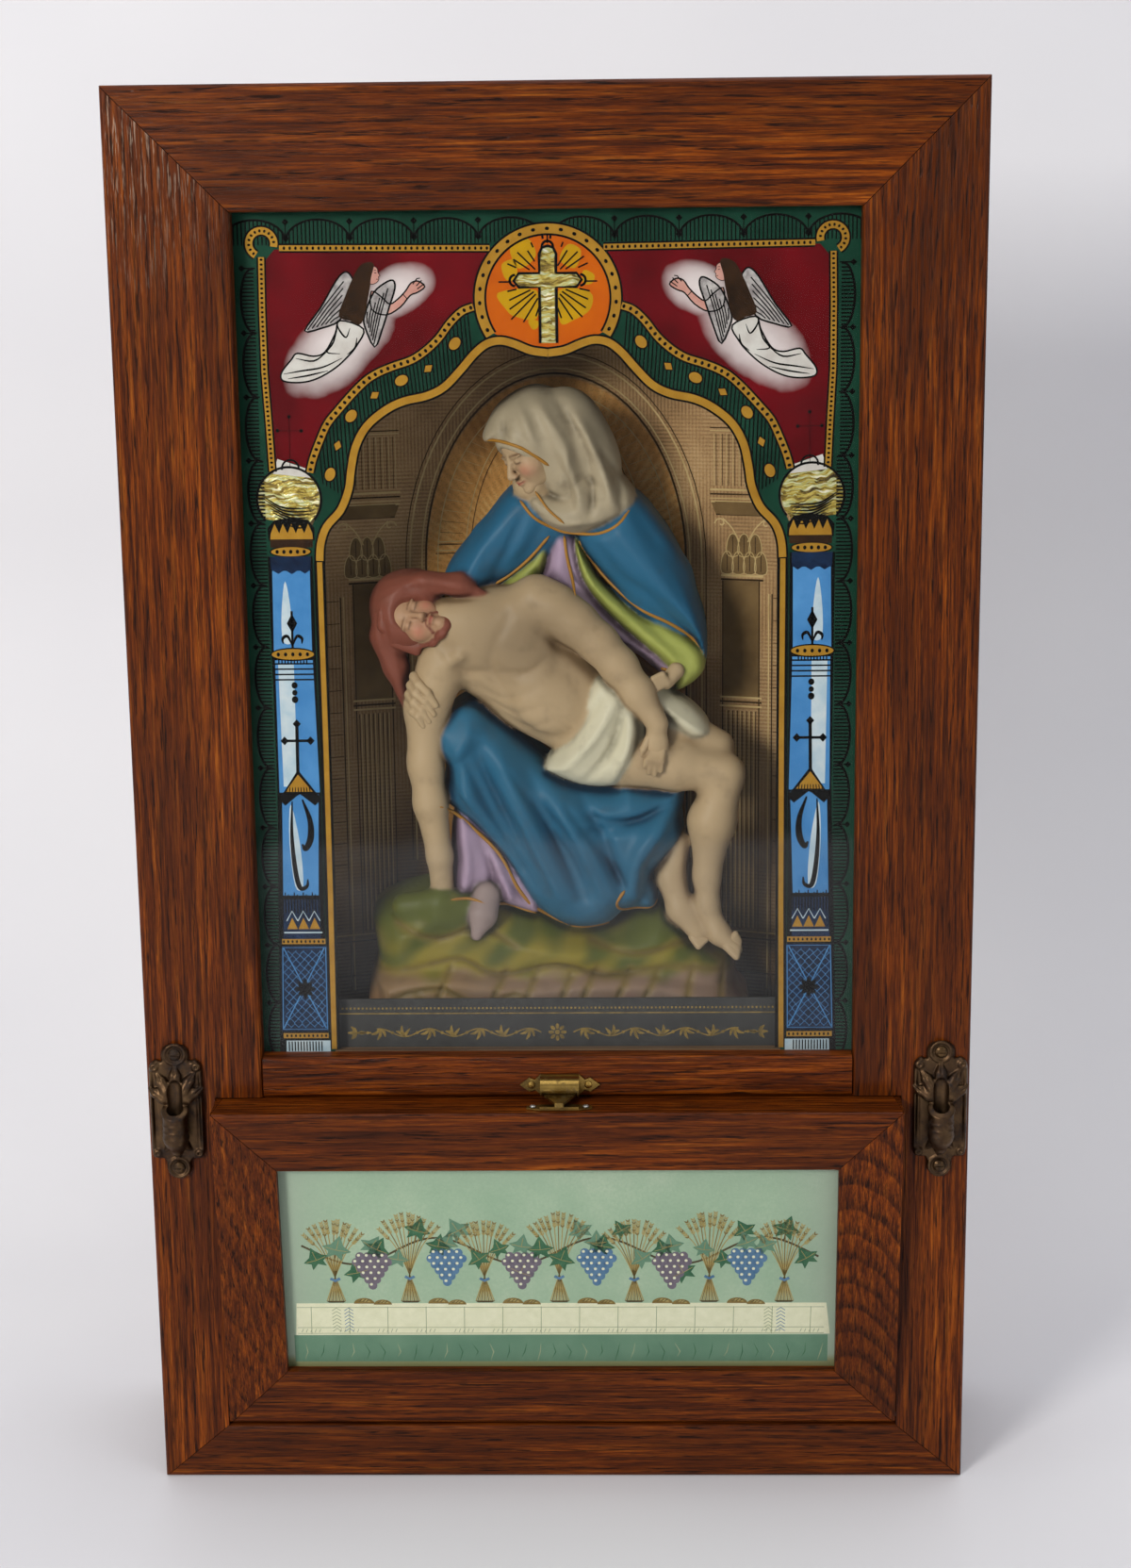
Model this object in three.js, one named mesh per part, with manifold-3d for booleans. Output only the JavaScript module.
// Sick call cabinet: an oak cabinet for a wall or table, with a glazed display above and a drop front
// below. Millimetres, +Z up, the front faces -Y and the back goes to the wall. While the pieces are
// made, y = 0 is the front of the face frame and z = 0 is the base. The last lines move the origin.
import * as THREE from 'three';
import { mergeVertices } from 'three/addons/utils/BufferGeometryUtils.js';
import Module from 'manifold-3d';

const wasm = await Module();
wasm.setup();

// Face frame
const width = 406;
const faceWidth = 57.5;          // boards round the display, seen from the front
const faceThick = 20;
const sillHeight = 28.5;         // board under the drop front
const midRailHeight = 20.5;
const windowHeight = 409;
const arris = 2.5;               // rounding of the face boards' front edges
const lip = 10;                  // from the front of the frame to the glass
const rabbet = 8;                // how far the glass reaches behind the frame

// Case behind the frame
const caseDepth = 94;
const sideInset = 2;
const sideThick = 12;
const dado = 4;                  // depth of the grooves that hold the boards
const bottomThick = 9;
const topThick = 12;
const shelfThick = 12;
const shelfDrop = 5.5;           // shelf top below the display's sight edge
const backThick = 6;

// Drop front
const doorInset = 34;            // edge of the door to the outside of the face frame
const doorHeight = 175.2;
const doorLean = 7.5;            // degrees that its face leans out at the top
const doorRear = 16;             // rear of the door behind the front of the frame
const doorFace = 31;
const doorRabbet = 6;
const doorLip = 5;
const doorArris = 1.6;
const sideGap = 0.5;
const bottomGap = 0.5;
const topGap = 0.8;
const pivotInset = 4;            // pivot to the face and to the bottom edge, and the edge's rounding
const pinRadius = 1.5;
const pinInDoor = 7.5;
const pinInStile = 10;
const bushWall = 0.7;

// Glass, cards and backing
const glassThick = 2.8;
const paintThick = 0.4;
const foilThick = 0.6;
const beadWidth = 7;
const beadThick = 4.6;
const cardThick = 1.2;
const doorGlassThick = 2;
const doorBackingThick = 4;

// Quadrant stays of the drop front
const stayRadius = 60;
const stayInset = 11;            // stay behind the door's outer edge
const stayWidth = 5;
const stayThick = 2;
const stayPinRadius = 1.6;
const stayPinLength = 7;
const stayFoot = { width: 14, height: 24, thick: 2 };
const guide = { width: 32, height: 26, thick: 2 };
const stopStrip = { length: 240, depth: 12, height: 8 };

// Spring latch over the drop front
const latchX = 1.5;
const latchPlate = { width: 39.5, height: 10.5, thick: 1.2, body: 19 };
const latchRadius = 4.8;         // outside of the barrel cover
const latchWall = 1;
const latchPinRadius = 1;
const knuckleRadius = 2.9;
const tongueReach = 15.6;        // pivot to the front of the hook
const tongueThick = 1.2;
const tongueDrop = 3.9;          // pivot to the underside of the tongue
const hookDepth = 1;
const strike = { bar: 19, depth: 6.8, thick: 0.8, lip: 2.1, ear: 5 };

// Sconce sockets on the stiles
const sconce = { inset: 14.7, z: 199, width: 28, height: 70, thick: 2.6, screwUp: 29.5 };
const socketBore = 3.8;
const socketWall = 3;
const socketDepth = 18;
const socketHeight = 28;
const mouthSlant = 18;           // degrees

// Curved backdrop, caption strip and figure group
const backdropHeight = 410;
const backdropHalf = 165;
const backdropSag = 42;
const captionHeight = 29;
const captionWidth = 226;
const group = { width: 188, height: 328, depth: 58 };

// Painted border: half of the arch that it leaves clear, and the pearl foils behind it. The arch's
// places are from the middle and below the upper sight edge, and so are the foils' drops.
const archHalf = [[0, 66.5], [12, 61.5], [22, 60], [33, 64.5], [43, 75.5], [55, 83], [68, 88],
  [77, 93], [87, 102.5], [93, 113.5], [95.5, 128.5], [100, 139], [108, 150.5], [110.5, 164.5],
  [110.6, 184]];
const cross = { drop: 41, height: 43, width: 31, bar: 7, tip: 4.2, armUp: 8 };
const dome = { inset: 21, drop: 134, radius: 15.2, neck: 3.5, neckRise: 6 };

// Keyhole plates in the back, and the screws of the fittings
const hanger = { x: 120, drop: 52, width: 18, height: 42, thick: 2, hole: 5, slot: 2.4 };
const screwSizes = {
  sconce: { head: 3.2, rise: 1.5, core: 1.3, shank: 14 },
  latch: { head: 1.9, rise: 0.9, core: 0.8, shank: 8 },
  strike: { head: 1.6, rise: 0.7, core: 0.7, shank: 7 },
};

// Clearances between pieces that touch, and of the moving ones
const seat = 0.3;
const running = 0.4;

// Values that follow from the sizes above
const half = width / 2;
const doorHalf = half - doorInset;
const notchHalf = doorHalf + sideGap;
const windowHalf = half - faceWidth;
const doorBottom = sillHeight + bottomGap;
const doorTop = doorBottom + doorHeight;
const midBottom = doorTop + topGap;
const windowBottom = midBottom + midRailHeight;
const windowTop = windowBottom + windowHeight;
const height = windowTop + faceWidth;
const caseFront = faceThick + seat;
const back = faceThick + caseDepth;
const sideOuter = half - sideInset;
const sideInner = sideOuter - sideThick;
const sconceX = half - sconce.inset;
const hangerZ = height - hanger.drop;
const shelfTop = windowBottom - shelfDrop;
const shelfBottom = shelfTop - shelfThick;
const glassFront = lip + seat;
const paintFront = glassFront + glassThick + seat;
const foilFront = paintFront + paintThick + seat;
const lean = THREE.MathUtils.degToRad(doorLean);
const pivotY = pivotInset;
const pivotZ = doorBottom + pivotInset;

// A manifold solid from a closed three.js geometry
function solid(geometry) {
  const plain = geometry.clone();
  plain.deleteAttribute('normal');
  plain.deleteAttribute('uv');
  const merged = mergeVertices(plain, 1e-4);
  const vertProperties = Float32Array.from(merged.attributes.position.array);
  const triVerts = Uint32Array.from(merged.index.array);
  return new wasm.Manifold(new wasm.Mesh({ numProp: 3, vertProperties, triVerts }));
}

// The geometry of a manifold solid
function geometryOf(body) {
  const mesh = body.getMesh();
  const geometry = new THREE.BufferGeometry();
  geometry.setAttribute('position', new THREE.BufferAttribute(mesh.vertProperties, 3));
  geometry.setIndex(new THREE.BufferAttribute(mesh.triVerts, 1));
  geometry.computeVertexNormals();
  return geometry;
}

function united(bodies) {
  return bodies.reduce((all, body) => all.add(body));
}

// A rectangular block between two corners
function block(x0, x1, y0, y1, z0, z1) {
  const geometry = new THREE.BoxGeometry(x1 - x0, y1 - y0, z1 - z0);
  geometry.translate((x0 + x1) / 2, (y0 + y1) / 2, (z0 + z1) / 2);
  return solid(geometry);
}

function extruded(points, length, holes = []) {
  const shape = new THREE.Shape(points.map(([a, b]) => new THREE.Vector2(a, b)));
  for (const hole of holes) {
    shape.holes.push(new THREE.Path(hole.map(([a, b]) => new THREE.Vector2(a, b))));
  }
  return new THREE.ExtrudeGeometry(shape, { depth: length, bevelEnabled: false, steps: 1 });
}

// A plate whose outline is seen from the front (x, z), between two depths
function plate(points, yFront, yRear, holes = []) {
  const geometry = extruded(points, yRear - yFront, holes);
  geometry.rotateX(Math.PI / 2);
  geometry.translate(0, yRear, 0);
  return solid(geometry);
}

// A bar along x whose section is seen from the side (y, z)
function bar(points, x0, x1) {
  const geometry = extruded(points, x1 - x0);
  geometry.applyMatrix4(new THREE.Matrix4().set(0, 0, 1, x0, 1, 0, 0, 0, 0, 1, 0, 0, 0, 0, 0, 1));
  return solid(geometry);
}

// A post along z whose section is seen from above (x, y)
function post(points, z0, z1) {
  const geometry = extruded(points, z1 - z0);
  geometry.translate(0, 0, z0);
  return solid(geometry);
}

// Round bars along the three axes
function rodX(x0, x1, y, z, radius, sides = 16) {
  const geometry = new THREE.CylinderGeometry(radius, radius, x1 - x0, sides);
  geometry.rotateZ(Math.PI / 2);
  geometry.translate((x0 + x1) / 2, y, z);
  return solid(geometry);
}

function rodY(y0, y1, x, z, radius, sides = 16) {
  const geometry = new THREE.CylinderGeometry(radius, radius, y1 - y0, sides);
  geometry.translate(x, (y0 + y1) / 2, z);
  return solid(geometry);
}

function rodZ(z0, z1, x, y, radius, sides = 16) {
  const geometry = new THREE.CylinderGeometry(radius, radius, z1 - z0, sides);
  geometry.rotateX(Math.PI / 2);
  geometry.translate(x, y, (z0 + z1) / 2);
  return solid(geometry);
}

// Points of an arc round (cx, cy), angles in degrees
function arc(cx, cy, radius, from, to, steps) {
  return Array.from({ length: steps + 1 }, (_, i) => {
    const a = THREE.MathUtils.degToRad(from + (to - from) * i / steps);
    return [cx + radius * Math.cos(a), cy + radius * Math.sin(a)];
  });
}

// The arc that rounds an outline's corner
function rounded(before, corner, after, radius, steps = 4) {
  const p = new THREE.Vector2(...corner);
  const a = new THREE.Vector2(...before).sub(p).normalize();
  const b = new THREE.Vector2(...after).sub(p).normalize();
  const bend = Math.acos(a.dot(b)) / 2;
  const middle = a.clone().add(b).normalize().multiplyScalar(radius / Math.sin(bend)).add(p);
  const start = a.multiplyScalar(radius / Math.tan(bend)).add(p).sub(middle);
  const end = b.multiplyScalar(radius / Math.tan(bend)).add(p).sub(middle);
  const turn = Math.atan2(start.cross(end), start.dot(end));
  return Array.from({ length: steps + 1 }, (_, i) => {
    const at = start.clone().rotateAround(new THREE.Vector2(), turn * i / steps).add(middle);
    return [at.x, at.y];
  });
}

// The open joint of a mitre: a thin upright slab along a line seen from the front
function kerf(a, b, y0, y1) {
  const along = new THREE.Vector2(b[0] - a[0], b[1] - a[1]).normalize();
  const over = 4;
  const side = new THREE.Vector2(-along.y, along.x).multiplyScalar(seat / 2);
  const start = [a[0] - along.x * over, a[1] - along.y * over];
  const end = [b[0] + along.x * over, b[1] + along.y * over];
  return plate([
    [start[0] + side.x, start[1] + side.y],
    [start[0] - side.x, start[1] - side.y],
    [end[0] - side.x, end[1] - side.y],
    [end[0] + side.x, end[1] + side.y],
  ], y0, y1);
}

// Materials: stained oak and the rest
const oak = () => new THREE.MeshStandardMaterial({ color: 0x6b3616, roughness: 0.45, metalness: 0 });
const softwood = () => new THREE.MeshStandardMaterial({ color: 0x8a6238, roughness: 0.7, metalness: 0 });
const brass = () => new THREE.MeshStandardMaterial({ color: 0x8a6a2c, roughness: 0.4, metalness: 0.9 });
const bronze = () => new THREE.MeshStandardMaterial({ color: 0x4a3a26, roughness: 0.5, metalness: 0.8 });
const steel = () => new THREE.MeshStandardMaterial({ color: 0x8f8f8c, roughness: 0.35, metalness: 0.9 });
const glass = () => new THREE.MeshStandardMaterial({
  color: 0xe8f0ee, roughness: 0.05, metalness: 0, transparent: true, opacity: 0.3,
});
const paint = () => new THREE.MeshStandardMaterial({ color: 0x173326, roughness: 0.4, metalness: 0 });
const foil = () => new THREE.MeshStandardMaterial({ color: 0xd8d4cc, roughness: 0.3, metalness: 0.4 });
const card = (color) => new THREE.MeshStandardMaterial({ color, roughness: 0.8, metalness: 0 });
const plaster = () => new THREE.MeshStandardMaterial({ color: 0xb8a898, roughness: 0.75, metalness: 0 });

const cabinet = new THREE.Group();

function add(name, body, material) {
  const mesh = new THREE.Mesh(geometryOf(body), material);
  mesh.name = name;
  cabinet.add(mesh);
}

const sides = [['left', -1], ['right', 1]];

// Room behind the face frame's sight edge for the glass and its beads
const glassRoom = () => block(-windowHalf - rabbet, windowHalf + rabbet, lip, faceThick + 1,
  windowBottom - rabbet, windowTop + rabbet);

// A face board's section: depth along the first axis, the edges' places along the second
function boardSection(low, high) {
  return [
    [faceThick, low],
    ...rounded([faceThick, low], [0, low], [0, high], arris),
    ...rounded([0, low], [0, high], [faceThick, high], arris),
    [faceThick, high],
  ];
}

// Stile of the face frame, mitred at both ends and cut back beside the drop front
function frameStile(s) {
  const section = boardSection(windowHalf, half).map(([y, x]) => [s * x, y]);
  const outline = [
    [s * half, 0],
    [s * half, height],
    [s * windowHalf, windowTop],
    [s * windowHalf, midBottom],
    [s * notchHalf, midBottom],
    [s * notchHalf, sillHeight],
  ];
  const pin = [s * (notchHalf - 1), s * (notchHalf + pinInStile + seat)].sort((a, b) => a - b);
  let body = post(section, 0, height).intersect(plate(outline, -1, faceThick + 1));
  body = body.subtract(glassRoom());
  body = body.subtract(kerf([s * half, height], [s * windowHalf, windowTop], -1, faceThick + 1));
  body = body.subtract(kerf([s * half, 0], [s * notchHalf, sillHeight], -1, faceThick + 1));
  body = body.subtract(rodX(pin[0], pin[1], pivotY, pivotZ, pinRadius + seat));
  for (const up of [-1, 1]) {
    const z = sconce.z + up * sconce.screwUp;
    body = body.subtract(rodY(-1, screwSizes.sconce.shank + seat, s * sconceX, z,
      screwSizes.sconce.core + seat, 12));
  }
  return body;
}

function frameTopRail() {
  const outline = [[-half, height], [half, height], [windowHalf, windowTop], [-windowHalf, windowTop]];
  let body = bar(boardSection(windowTop, height), -half, half);
  body = body.intersect(plate(outline, -1, faceThick + 1)).subtract(glassRoom());
  for (const [, s] of sides) {
    body = body.subtract(kerf([s * half, height], [s * windowHalf, windowTop], -1, faceThick + 1));
  }
  return body;
}

function frameSill() {
  const outline = [[-half, 0], [half, 0], [notchHalf, sillHeight], [-notchHalf, sillHeight]];
  let body = bar(boardSection(0, sillHeight), -half, half).intersect(plate(outline, -1, faceThick + 1));
  for (const [, s] of sides) {
    body = body.subtract(kerf([s * half, 0], [s * notchHalf, sillHeight], -1, faceThick + 1));
  }
  return body;
}

function frameMidRail() {
  let body = bar(boardSection(midBottom, windowBottom), -windowHalf + seat, windowHalf - seat);
  body = body.subtract(glassRoom());
  for (const x of latchScrewPlaces()) {
    body = body.subtract(rodY(-1, screwSizes.latch.shank + seat, x, latchZ(),
      screwSizes.latch.core + seat, 12));
  }
  return body;
}

// Screws: a domed, slotted head on a plain shank, made pointing along +Y and then turned
function screw({ head, rise, core, shank }) {
  const profile = [[0, -rise], [head * 0.6, -rise * 0.8], [head * 0.9, -rise * 0.35], [head, 0],
    [core, 0], [core, shank - core], [0, shank]];
  const geometry = new THREE.LatheGeometry(profile.map(([r, h]) => new THREE.Vector2(r, h)), 14);
  const slot = block(-head, head, -rise - 1, -rise * 0.5, -head * 0.12, head * 0.12);
  return solid(geometry).subtract(slot);
}

// Side of the case, grooved for the boards and rabbeted for the back
function caseSide(s) {
  const [x0, x1] = [s * sideInner, s * sideOuter].sort((a, b) => a - b);
  const groove = s * (sideInner + dado);
  const [g0, g1] = [s * (sideInner - 1), groove].sort((a, b) => a - b);
  let body = block(x0, x1, caseFront, back, 0, height);
  body = body.subtract(block(g0, g1, 0, back - backThick, -1, bottomThick + seat));
  body = body.subtract(block(g0, g1, 0, back - backThick, shelfBottom - seat, shelfTop + seat));
  body = body.subtract(block(g0, g1, 0, back - backThick, height - topThick - seat, height + 1));
  const [r0, r1] = [s * (sideInner - 1), s * (sideInner + backThick)].sort((a, b) => a - b);
  return body.subtract(block(r0, r1, back - backThick - seat, back + 1, -1, height + 1));
}

function caseBoard(z0, z1) {
  const reach = sideInner + dado - seat;
  return block(-reach, reach, caseFront, back - backThick - seat, z0, z1);
}

// Keyhole plates let into the back near the top
function hangerOutline(grow) {
  const w = hanger.width / 2 + grow;
  const h = hanger.height / 2 - hanger.width / 2;
  return [...arc(0, h, w, 0, 180, 10), ...arc(0, -h, w, 180, 360, 10)];
}

function backPanel() {
  const reach = sideInner + backThick - seat;
  let body = block(-reach, reach, back - backThick, back, 0, height);
  for (const [, s] of sides) {
    const place = ([x, z]) => [s * hanger.x + x, hangerZ + z];
    const seatCut = plate(hangerOutline(seat).map(place), back - hanger.thick - seat, back + 1);
    body = body.subtract(seatCut);
    const screwRoom = block(s * hanger.x - hanger.hole, s * hanger.x + hanger.hole,
      back - hanger.thick - 3, back, hangerZ - hanger.hole * 2.4, hangerZ + hanger.hole * 2.4);
    body = body.subtract(screwRoom);
  }
  return body;
}

function wallHanger(s) {
  const place = ([x, z]) => [s * hanger.x + x, hangerZ + z];
  const y0 = back - hanger.thick;
  let body = plate(hangerOutline(0).map(place), y0, back);
  body = body.subtract(rodY(y0 - 1, back + 1, s * hanger.x, hangerZ - hanger.hole, hanger.hole));
  const slotX = s * hanger.x;
  body = body.subtract(block(slotX - hanger.slot, slotX + hanger.slot, y0 - 1, back + 1,
    hangerZ - hanger.hole, hangerZ + hanger.hole * 2));
  return body;
}

// Glass, paint, foils and beads in the frame's rabbet
const paneHalf = windowHalf + rabbet - seat;
const paneBottom = windowBottom - rabbet + seat;
const paneTop = windowTop + rabbet - seat;

function archOpening() {
  const curve = new THREE.SplineCurve(archHalf.map(([x, z]) => new THREE.Vector2(x, z)));
  const right = curve.getPoints(28).map(({ x, y }) => [x, windowTop - y]);
  right.push([archHalf.at(-1)[0], windowBottom]);
  const left = right.slice(1).reverse().map(([x, z]) => [-x, z]);
  return [...left, ...right];
}

function paintedLayer() {
  const edge = [[-paneHalf, paneBottom], [paneHalf, paneBottom], [paneHalf, paneTop], [-paneHalf, paneTop]];
  return plate(edge, paintFront, paintFront + paintThick, [archOpening()]);
}

function pearlCross() {
  const z0 = windowTop - cross.drop;
  const arms = [[0, cross.height / 2], [0, -cross.height / 2],
    [-cross.width / 2, cross.armUp], [cross.width / 2, cross.armUp]];
  const y1 = foilFront + foilThick;
  const bodies = [
    block(-cross.bar / 2, cross.bar / 2, foilFront, y1, z0 - cross.height / 2, z0 + cross.height / 2),
    block(-cross.width / 2, cross.width / 2, foilFront, y1,
      z0 + cross.armUp - cross.bar / 2, z0 + cross.armUp + cross.bar / 2),
    ...arms.map(([x, z]) => rodY(foilFront, y1, x, z0 + z, cross.tip, 12)),
  ];
  return united(bodies);
}

function pearlDome(s) {
  const y1 = foilFront + foilThick;
  const x = s * (windowHalf - dome.inset);
  const z = windowTop - dome.drop;
  const cap = rodY(foilFront, y1, x, z, dome.radius, 24);
  const neck = block(x - dome.neck, x + dome.neck, foilFront, y1,
    z, z + dome.radius + dome.neckRise);
  return cap.add(neck);
}

function beadRow(low) {
  const z0 = low ? paneBottom : paneTop - beadWidth;
  return block(-paneHalf, paneHalf, foilFront, foilFront + beadThick, z0, z0 + beadWidth);
}

function beadColumn(s) {
  const [x0, x1] = [s * (paneHalf - beadWidth), s * paneHalf].sort((a, b) => a - b);
  return block(x0, x1, foilFront, foilFront + beadThick,
    paneBottom + beadWidth + seat, paneTop - beadWidth - seat);
}

// Backdrop card, bent between the sides of the display
function backdropCard() {
  const y = back - backThick - seat - cardThick;
  const radius = (backdropHalf ** 2 + backdropSag ** 2) / (2 * backdropSag);
  const open = THREE.MathUtils.radToDeg(Math.asin(backdropHalf / radius));
  const outer = arc(0, y + cardThick - radius, radius, 90 - open, 90 + open, 20);
  const inner = arc(0, y + cardThick - radius, radius - cardThick, 90 + open, 90 - open, 20);
  return post([...outer, ...inner], shelfTop + seat, shelfTop + seat + backdropHeight);
}

// Caption strip, standing at the front of the display's floor
function captionStrip() {
  return block(-captionWidth / 2, captionWidth / 2, caseFront, caseFront + cardThick,
    shelfTop + seat, shelfTop + seat + captionHeight);
}

// Figure group: one plaster casting, built up from rounded masses. Places are shares of the group's
// own width, depth and height, from the middle of its base.
const groupRear = back - backThick - backdropSag + 14;

function mass(x, y, z, rx, ry, rz, tilt = 0) {
  const geometry = new THREE.SphereGeometry(1, 14, 8);
  geometry.scale(rx * group.width, ry * group.depth, rz * group.height);
  geometry.rotateY(THREE.MathUtils.degToRad(tilt));
  geometry.translate(x * group.width, groupRear - group.depth + y * group.depth,
    shelfTop + seat + z * group.height);
  return solid(geometry);
}

// A limb between two places, with its radius at each end as a share of the width
function limb(from, to, r0, r1) {
  const place = ([x, y, z]) => new THREE.Vector3(x * group.width,
    groupRear - group.depth + y * group.depth, shelfTop + seat + z * group.height);
  const a = place(from);
  const b = place(to);
  const geometry = new THREE.CylinderGeometry(r1 * group.width, r0 * group.width, a.distanceTo(b), 8);
  const turn = new THREE.Quaternion().setFromUnitVectors(
    new THREE.Vector3(0, 1, 0), b.clone().sub(a).normalize());
  geometry.applyQuaternion(turn);
  const middle = a.clone().add(b).multiplyScalar(0.5);
  geometry.translate(middle.x, middle.y, middle.z);
  const ends = [[a, r0], [b, r1]].map(([p, r]) => {
    const ball = new THREE.SphereGeometry(r * group.width, 8, 6);
    ball.translate(p.x, p.y, p.z);
    return solid(ball);
  });
  return united([solid(geometry), ...ends]);
}

function reliefGroup() {
  const ground = [
    mass(-0.02, 0.6, 0.07, 0.5, 0.42, 0.13),
    mass(-0.27, 0.62, 0.12, 0.22, 0.36, 0.12),
    mass(0.22, 0.62, 0.09, 0.26, 0.4, 0.1),
  ];
  const mother = [
    mass(0.04, 0.72, 0.36, 0.35, 0.4, 0.22),
    mass(0.02, 0.75, 0.6, 0.26, 0.34, 0.22),
    mass(0.05, 0.75, 0.78, 0.26, 0.3, 0.1),
    mass(-0.04, 0.68, 0.9, 0.13, 0.32, 0.1),
    mass(-0.24, 0.66, 0.28, 0.12, 0.3, 0.14),
    mass(0.34, 0.72, 0.52, 0.1, 0.26, 0.16, 12),
  ];
  const son = [
    limb([-0.26, 0.42, 0.66], [0.2, 0.4, 0.5], 0.095, 0.1),
    mass(-0.36, 0.36, 0.655, 0.09, 0.28, 0.062, 30),
    limb([-0.27, 0.38, 0.6], [-0.33, 0.34, 0.38], 0.045, 0.035),
    limb([-0.33, 0.34, 0.38], [-0.31, 0.34, 0.235], 0.032, 0.022),
    limb([0.2, 0.4, 0.49], [0.47, 0.36, 0.43], 0.085, 0.06),
    limb([0.46, 0.38, 0.42], [0.46, 0.42, 0.14], 0.055, 0.035),
    limb([0.2, 0.44, 0.45], [0.4, 0.44, 0.36], 0.08, 0.055),
    limb([0.4, 0.44, 0.36], [0.37, 0.46, 0.16], 0.05, 0.035),
    mass(0.17, 0.34, 0.46, 0.17, 0.28, 0.1, 10),
  ];
  const y0 = groupRear - group.depth;
  const room = block(-group.width / 2, group.width / 2, y0, groupRear,
    shelfTop + seat, shelfTop + seat + group.height);
  return united([...ground, ...mother, ...son]).intersect(room);
}

// Sconce plate with its socket: a shaped casting with lobes, scrolls and a fan above the sleeve
function sconcePlate(s) {
  const { width: w, height: h, thick, screwUp } = sconce;
  const y0 = -seat - thick;
  const lobe = h / 2 - screwUp;
  const body = [
    [-w * 0.3, h * 0.36], [-w * 0.42, h * 0.22], [-w * 0.5, h * 0.06], [-w * 0.4, -h * 0.1],
    [-w * 0.42, -h * 0.2], [-w * 0.2, -h * 0.38], [w * 0.2, -h * 0.38], [w * 0.42, -h * 0.2],
    [w * 0.4, -h * 0.1], [w * 0.5, h * 0.06], [w * 0.42, h * 0.22], [w * 0.3, h * 0.36],
  ];
  const parts = [plate(body, y0, -seat)];
  for (const up of [-1, 1]) {
    parts.push(rodY(y0, -seat, 0, up * screwUp, lobe, 16));
    for (const side of [-1, 1]) {
      parts.push(rodY(y0 - 1, -seat, side * w * 0.34, up * h * 0.24, w * 0.12, 14));
    }
  }
  for (const turn of [-44, -22, 0, 22, 44]) {
    const leaf = new THREE.SphereGeometry(1, 8, 6);
    leaf.scale(w * 0.07, thick * 0.9, h * 0.13);
    leaf.translate(0, 0, h * 0.13);
    leaf.rotateY(THREE.MathUtils.degToRad(turn));
    leaf.translate(0, y0, h * 0.05);
    parts.push(solid(leaf));
  }
  parts.push(sconceSleeve(y0));
  let casting = united(parts).subtract(sconceBore(y0));
  casting = casting.subtract(block(-w, w, -seat, thick * 2, -h, h));
  for (const up of [-1, 1]) {
    casting = casting.subtract(rodY(-h, 1, 0, up * screwUp, screwSizes.sconce.core + seat, 12));
    casting = casting.subtract(rodY(-h, y0, 0, up * screwUp, screwSizes.sconce.head + seat, 14));
  }
  return casting.translate([s * sconceX, 0, sconce.z]);
}

const sleeveRadius = socketBore + socketWall;
const sleeveTop = sconce.height * 0.09;

function sleeveAxisY(y0) {
  return y0 - sleeveRadius + socketWall * 0.5;
}

function sconceSleeve(y0) {
  const r = sleeveRadius;
  const low = sleeveTop - socketHeight;
  const profile = [[0, low], [r * 0.45, low + r * 0.2], [r * 0.85, low + r * 0.75], [r, low + r * 1.4],
    [r, sleeveTop - 4], [r * 1.1, sleeveTop - 3], [r * 1.1, sleeveTop], [0, sleeveTop]];
  const geometry = new THREE.LatheGeometry(profile.map(([a, b]) => new THREE.Vector2(a, b)), 16);
  geometry.rotateX(Math.PI / 2);
  geometry.translate(0, sleeveAxisY(y0), 0);
  const top = new THREE.BoxGeometry(r * 6, r * 6, r * 6);
  top.translate(0, 0, r * 3);
  top.rotateX(THREE.MathUtils.degToRad(mouthSlant));
  top.translate(0, sleeveAxisY(y0) + r, sleeveTop);
  return solid(geometry).subtract(solid(top));
}

function sconceBore(y0) {
  return rodZ(sleeveTop - socketDepth, sleeveTop + 9, 0, sleeveAxisY(y0), socketBore, 16);
}

// Latch: a plate with a barrel cover on the middle rail, and a sprung tongue that hooks the strike
const latchPivotY = -seat - latchPlate.thick - 3.5;

function latchZ() {
  return midBottom + midRailHeight * 0.33;
}

function latchScrewPlaces() {
  return [-1, 1].map((s) => latchX + s * latchPlate.width * 0.355);
}

function latchHousing() {
  const { width: w, height: h, thick, body: b } = latchPlate;
  const y0 = -seat - thick;
  const quarter = [[b / 2, h / 2], [w * 0.31, h * 0.24], [w * 0.38, h * 0.34], [w / 2, 0],
    [w * 0.38, -h * 0.34], [w * 0.31, -h * 0.24], [b / 2, -h / 2]];
  const outline = [...quarter, ...quarter.map(([x, z]) => [-x, z]).reverse()];
  let parts = plate(outline.map(([x, z]) => [latchX + x, latchZ() + z]), y0, -seat);
  for (const x of latchScrewPlaces()) {
    parts = parts.subtract(rodY(y0 - 1, 1, x, latchZ(), screwSizes.latch.core + seat, 12));
  }
  const r = latchRadius;
  const inner = r - latchWall;
  const cover = [
    [y0 + 0.5, latchZ() + r],
    ...arc(latchPivotY, latchZ(), r, 90, 195, 10),
    ...arc(latchPivotY, latchZ(), inner, 195, 90, 10),
    [y0 + 0.5, latchZ() + inner],
  ];
  const cheek = [
    [y0 + 0.5, latchZ() + r],
    ...arc(latchPivotY, latchZ(), r, 90, 270, 12),
    [y0 + 0.5, latchZ() - r],
  ];
  parts = parts.add(bar(cover, latchX - b / 2, latchX + b / 2));
  for (const s of [-1, 1]) {
    const [x0, x1] = [latchX + s * b / 2, latchX + s * (b / 2 - latchWall)].sort((m, n) => m - n);
    parts = parts.add(bar(cheek, x0, x1));
  }
  return parts.subtract(rodX(latchX - b, latchX + b, latchPivotY, latchZ(), latchPinRadius + seat));
}

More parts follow.
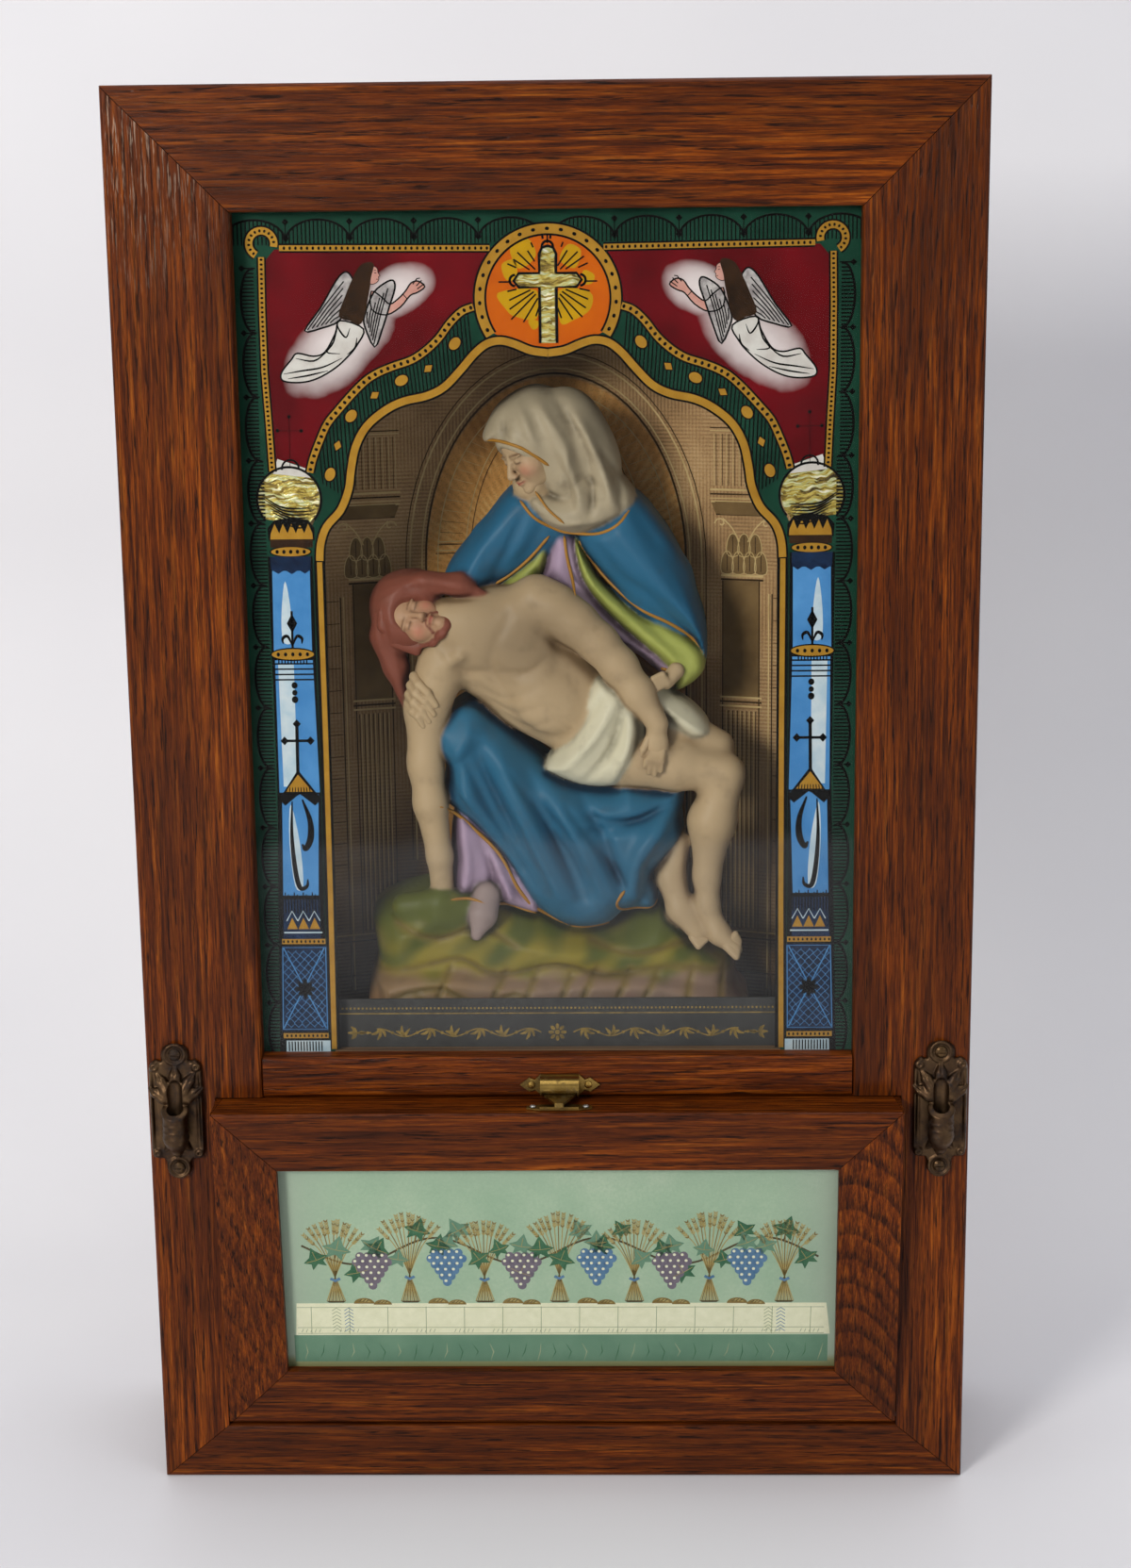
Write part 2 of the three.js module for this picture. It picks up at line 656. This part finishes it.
function latchPin() {
  const reach = latchPlate.body / 2;
  return rodX(latchX - reach, latchX + reach, latchPivotY, latchZ(), latchPinRadius);
}

// Leaf spring, curled between the cover and the tongue's knuckle
function latchSpring() {
  const outer = latchRadius - latchWall - seat;
  const inner = knuckleRadius + seat;
  const points = [
    ...arc(latchPivotY, latchZ(), outer, 70, 165, 10),
    ...arc(latchPivotY, latchZ(), inner, 165, 70, 10),
  ];
  const reach = latchPlate.body * 0.28;
  return bar(points, latchX - reach, latchX + reach);
}

function latchTongue() {
  const reach = latchPlate.body / 2 - latchWall - running;
  const low = latchZ() - tongueDrop;
  const front = latchPivotY - tongueReach;
  const profile = [
    [latchPivotY + 0.5, latchZ()], [latchPivotY - 1.5, latchZ()],
    [latchPivotY - 1.5, low + tongueThick], [front, low + tongueThick],
    [front, low - hookDepth], [front + tongueThick, low - hookDepth],
    [front + tongueThick, low], [latchPivotY + 0.5, low],
  ];
  const vee = [
    [latchX - reach, latchPivotY + 1], [latchX - reach, latchPivotY - 2],
    [latchX - 1.6, front - 1], [latchX + 1.6, front - 1],
    [latchX + reach, latchPivotY - 2], [latchX + reach, latchPivotY + 1],
  ];
  const knuckle = rodX(latchX - reach, latchX + reach, latchPivotY, latchZ(), knuckleRadius);
  const blade = bar(profile, latchX - reach, latchX + reach);
  const shaped = blade.intersect(post(vee, low - 5, latchZ() + 5)).add(knuckle);
  return shaped.subtract(rodX(latchX - 20, latchX + 20, latchPivotY, latchZ(), latchPinRadius + seat));
}

// Strike on the ledge: its lip stands just behind the hook
const hookRear = latchPivotY - tongueReach + tongueThick;
const strikeFront = hookRear + 0.8;
const strikeScrewSpread = strike.bar / 2 + strike.ear * 0.7;
const strikeScrewY = strikeFront + strike.depth * 0.5;

function strikePlate() {
  const z0 = doorTop + seat;
  const rear = strikeFront + strike.depth;
  const earHalf = strike.bar / 2 + strike.ear * 1.3;
  const outline = [
    [-strike.bar / 2, strikeFront], [strike.bar / 2, strikeFront],
    [earHalf, strikeScrewY - 1.4], [earHalf, strikeScrewY + 1.4],
    [strike.bar / 2, rear], [-strike.bar / 2, rear],
    [-earHalf, strikeScrewY + 1.4], [-earHalf, strikeScrewY - 1.4],
  ].map(([x, y]) => [latchX + x, y]);
  let body = post(outline, z0, z0 + strike.thick);
  body = body.add(block(latchX - strike.bar / 2, latchX + strike.bar / 2,
    strikeFront, strikeFront + strike.thick, z0, z0 + strike.lip - seat));
  for (const s of [-1, 1]) {
    body = body.subtract(rodZ(z0 - 1, z0 + 5, latchX + s * strikeScrewSpread, strikeScrewY,
      screwSizes.strike.core + seat, 12));
  }
  return body;
}

// Drop front. Its face leans out at the top, so it is set out on the face itself: u across, v up the
// face and n out of it, from where the rounded bottom edge meets the face.
const footY = pivotY - pivotInset * Math.cos(lean);
const footZ = pivotZ - pivotInset * Math.sin(lean);
const onFace = new THREE.Matrix4().makeBasis(
  new THREE.Vector3(1, 0, 0),
  new THREE.Vector3(0, -Math.sin(lean), Math.cos(lean)),
  new THREE.Vector3(0, -Math.cos(lean), -Math.sin(lean)),
).setPosition(0, footY, footZ);
const faceLow = (doorBottom - footZ) / Math.cos(lean);
const faceHigh = (doorTop - footZ) / Math.cos(lean);
const ledgeFront = footY - faceHigh * Math.sin(lean);
const sightHalf = doorHalf - doorFace;
const sightLow = faceLow + doorFace;
const sightHigh = faceHigh - doorFace;

function facePrism(points, nRear, nFront) {
  const geometry = extruded(points, nFront - nRear);
  geometry.translate(0, 0, nRear);
  geometry.applyMatrix4(onFace);
  return solid(geometry);
}

function faceRectangle(uHalf, vLow, vHigh) {
  return [[-uHalf, vLow], [uHalf, vLow], [uHalf, vHigh], [-uHalf, vHigh]];
}

// The whole wedge of the door before it is cut into its four mitred boards
function doorWedge() {
  const top = [ledgeFront, doorTop];
  const section = [
    [doorRear, doorBottom],
    ...arc(pivotY, pivotZ, pivotInset, 270, 180 + doorLean, 6),
    ...rounded([footY, footZ], top, [doorRear, doorTop], doorArris),
    [doorRear, doorTop],
  ];
  const depth = doorRear - ledgeFront + 20;
  const wedge = bar(section, -doorHalf, doorHalf);
  const sight = facePrism(faceRectangle(sightHalf, sightLow, sightHigh), -depth, 10);
  const room = faceRectangle(sightHalf + doorRabbet, sightLow - doorRabbet, sightHigh + doorRabbet);
  let body = wedge.subtract(sight).subtract(facePrism(room, -depth, -doorLip));
  for (const [, s] of sides) {
    const [x0, x1] = [s * (doorHalf - pinInDoor - seat), s * (doorHalf + 1)].sort((a, b) => a - b);
    body = body.subtract(rodX(x0, x1, pivotY, pivotZ, pinRadius + seat + bushWall + seat));
    body = body.subtract(rodZ(doorTop - screwSizes.strike.shank - seat, doorTop + 1,
      latchX + s * strikeScrewSpread, strikeScrewY, screwSizes.strike.core + seat, 12));
  }
  for (const [, s] of sides) {
    for (const v of [[faceLow, sightLow], [faceHigh, sightHigh]]) {
      body = body.subtract(faceKerf([s * doorHalf, v[0]], [s * sightHalf, v[1]], depth));
    }
  }
  return body;
}

function faceKerf(a, b, depth) {
  const along = new THREE.Vector2(b[0] - a[0], b[1] - a[1]).normalize();
  const over = 12;
  const side = new THREE.Vector2(-along.y, along.x).multiplyScalar(seat / 2);
  const start = new THREE.Vector2(...a).addScaledVector(along, -over);
  const end = new THREE.Vector2(...b).addScaledVector(along, over);
  const corners = [[start, 1], [start, -1], [end, -1], [end, 1]].map(([at, by]) => {
    const { x, y } = at.clone().addScaledVector(side, by);
    return [x, y];
  });
  return facePrism(corners, -depth, 10);
}

function doorBoards() {
  const wedge = doorWedge();
  const depth = doorRear - ledgeFront + 20;
  const over = 12;
  const [h, w] = [doorHalf + over, sightHalf];
  const [low, high] = [faceLow - over, faceHigh + over];
  const outlines = {
    door_stile_left: [[-h, low], [-w, sightLow], [-w, sightHigh], [-h, high]],
    door_stile_right: [[h, low], [h, high], [w, sightHigh], [w, sightLow]],
    door_top_rail: [[-h, high], [-w, sightHigh], [w, sightHigh], [h, high]],
    door_bottom_rail: [[-h, low], [h, low], [w, sightLow], [-w, sightLow]],
  };
  for (const [name, outline] of Object.entries(outlines)) {
    add(name, wedge.intersect(facePrism(outline, -depth, 10)), oak());
  }
}

function doorPane(front, thick) {
  const points = faceRectangle(sightHalf + doorRabbet - seat,
    sightLow - doorRabbet + seat, sightHigh + doorRabbet - seat);
  return facePrism(points, -front - thick, -front);
}

function pivotPin(s) {
  const [x0, x1] = [s * (doorHalf - pinInDoor), s * (notchHalf + pinInStile)].sort((a, b) => a - b);
  return rodX(x0, x1, pivotY, pivotZ, pinRadius);
}

function pivotBush(s) {
  const [x0, x1] = [s * (doorHalf - pinInDoor), s * doorHalf].sort((a, b) => a - b);
  const tube = rodX(x0, x1, pivotY, pivotZ, pinRadius + seat + bushWall);
  return tube.subtract(rodX(x0 - 1, x1 + 1, pivotY, pivotZ, pinRadius + seat));
}

// Quadrant stays: arms concentric with the pivot that run through plates on the stiles. A cross pin
// near the tail meets the plate when the door lies level.
const stayX = doorHalf - stayInset;
const guideRear = caseFront + guide.thick;

// Height of a circle round the pivot at a depth
function onQuadrant(radius, y) {
  return pivotZ + Math.sqrt(radius ** 2 - (y - pivotY) ** 2);
}

function stayArm(s) {
  const inner = stayRadius - stayWidth / 2;
  const outer = stayRadius + stayWidth / 2;
  const footRear = doorRear + seat + stayFoot.thick;
  const tail = guideRear + seat + stayPinRadius - pivotY;
  const start = 90 - THREE.MathUtils.radToDeg(Math.asin((footRear - pivotY - 1.6) / stayRadius));
  const end = -THREE.MathUtils.radToDeg(Math.asin(tail / stayRadius));
  const over = THREE.MathUtils.radToDeg((stayPinRadius + 0.6) / stayRadius);
  const points = [
    ...arc(pivotY, pivotZ, outer, start, end - over, 18),
    ...arc(pivotY, pivotZ, inner, end - over, start, 18),
  ];
  const x = s * stayX;
  const arm = bar(points, x - stayThick / 2, x + stayThick / 2);
  const [pinPlace] = arc(pivotY, pivotZ, stayRadius, end, end, 1);
  const pin = rodX(x - stayPinLength / 2, x + stayPinLength / 2, pinPlace[0], pinPlace[1], stayPinRadius, 12);
  const footZMid = onQuadrant(stayRadius, footRear);
  const foot = block(x - stayFoot.width / 2, x + stayFoot.width / 2, doorRear + seat, footRear,
    footZMid - stayFoot.height / 2, footZMid + stayFoot.height / 2);
  const room = block(-half, half, doorRear + seat, back, 0, height);
  return united([arm, pin, foot]).intersect(room);
}

function stayGuide(s) {
  const x = s * stayX;
  const z = onQuadrant(stayRadius, caseFront);
  const near = x - s * (stayPinLength / 2 + 1);
  const [x0, x1] = [near, near + s * guide.width].sort((a, b) => a - b);
  const low = onQuadrant(stayRadius - stayWidth / 2, guideRear) - running;
  const high = onQuadrant(stayRadius + stayWidth / 2, caseFront) + running;
  const holeHalf = stayThick / 2 + running;
  const body = block(x0, x1, caseFront, guideRear, z - guide.height / 2, z + guide.height / 2);
  return body.subtract(block(x - holeHalf, x + holeHalf, 0, back, low, high));
}

// Strip under the shelf that the door shuts against
function doorStop() {
  const [x, y0, y1] = [stopStrip.length / 2, doorRear + seat, doorRear + seat + stopStrip.depth];
  const step = midBottom - seat;
  return bar([
    [y0, step - stopStrip.height], [y1, step - stopStrip.height], [y1, shelfBottom - seat],
    [caseFront, shelfBottom - seat], [caseFront, step], [y0, step],
  ], -x, x);
}

// Build the cabinet, from the case out
for (const [name, s] of sides) {
  add(`side_${name}`, caseSide(s), oak());
}
add('bottom_board', caseBoard(0, bottomThick), oak());
add('divider_shelf', caseBoard(shelfBottom, shelfTop), oak());
add('top_board', caseBoard(height - topThick, height), oak());
add('back_panel', backPanel(), softwood());
for (const [name, s] of sides) {
  add(`frame_stile_${name}`, frameStile(s), oak());
}
add('frame_top_rail', frameTopRail(), oak());
add('frame_mid_rail', frameMidRail(), oak());
add('frame_sill', frameSill(), oak());

add('display_glass',
  block(-paneHalf, paneHalf, glassFront, glassFront + glassThick, paneBottom, paneTop), glass());
add('painted_layer', paintedLayer(), paint());
add('pearl_cross', pearlCross(), foil());
for (const [name, s] of sides) {
  add(`pearl_dome_${name}`, pearlDome(s), foil());
}
add('glazing_bead_bottom', beadRow(true), softwood());
add('glazing_bead_top', beadRow(false), softwood());
for (const [name, s] of sides) {
  add(`glazing_bead_${name}`, beadColumn(s), softwood());
}
add('backdrop_card', backdropCard(), card(0x8a7050));
add('caption_strip', captionStrip(), card(0x35322c));
add('relief_group', reliefGroup(), plaster());

for (const [name, s] of sides) {
  add(`sconce_${name}`, sconcePlate(s), bronze());
  for (const [end, up] of [['top', 1], ['bottom', -1]]) {
    const head = -seat - sconce.thick - seat;
    const body = screw(screwSizes.sconce).translate([s * sconceX, head, sconce.z + up * sconce.screwUp]);
    add(`sconce_${name}_screw_${end}`, body, brass());
  }
}

add('latch_housing', latchHousing(), brass());
add('latch_pin', latchPin(), steel());
add('latch_spring', latchSpring(), steel());
add('latch_tongue', latchTongue(), brass());
latchScrewPlaces().forEach((x, i) => {
  const head = -seat - latchPlate.thick - seat;
  add(`latch_screw_${sides[i][0]}`, screw(screwSizes.latch).translate([x, head, latchZ()]), brass());
});
add('strike_plate', strikePlate(), brass());
for (const [name, s] of sides) {
  const body = screw(screwSizes.strike).rotate([-90, 0, 0]);
  const z = doorTop + seat + strike.thick + seat;
  add(`strike_screw_${name}`, body.translate([latchX + s * strikeScrewSpread, strikeScrewY, z]), brass());
}

doorBoards();
add('door_glass', doorPane(doorLip + seat, doorGlassThick), glass());
add('print_card', doorPane(doorLip + 2 * seat + doorGlassThick, cardThick), card(0x8fae94));
add('door_backing', doorPane(doorLip + 3 * seat + doorGlassThick + cardThick, doorBackingThick), softwood());
add('door_stop', doorStop(), oak());
for (const [name, s] of sides) {
  add(`pivot_pin_${name}`, pivotPin(s), steel());
  add(`pivot_bush_${name}`, pivotBush(s), brass());
  add(`stay_arm_${name}`, stayArm(s), brass());
  add(`stay_guide_${name}`, stayGuide(s), brass());
  add(`wall_hanger_${name}`, wallHanger(s), brass());
}

// The origin is at the middle of the base, half way from the ledge to the back
cabinet.position.y = -(ledgeTip() + back) / 2;

// Frontmost point of the drop front, on its rounded arris
function ledgeTip() {
  const corner = rounded([footY, footZ], [ledgeFront, doorTop], [doorRear, doorTop], doorArris);
  return Math.min(...corner.map(([y]) => y));
}

export default cabinet;
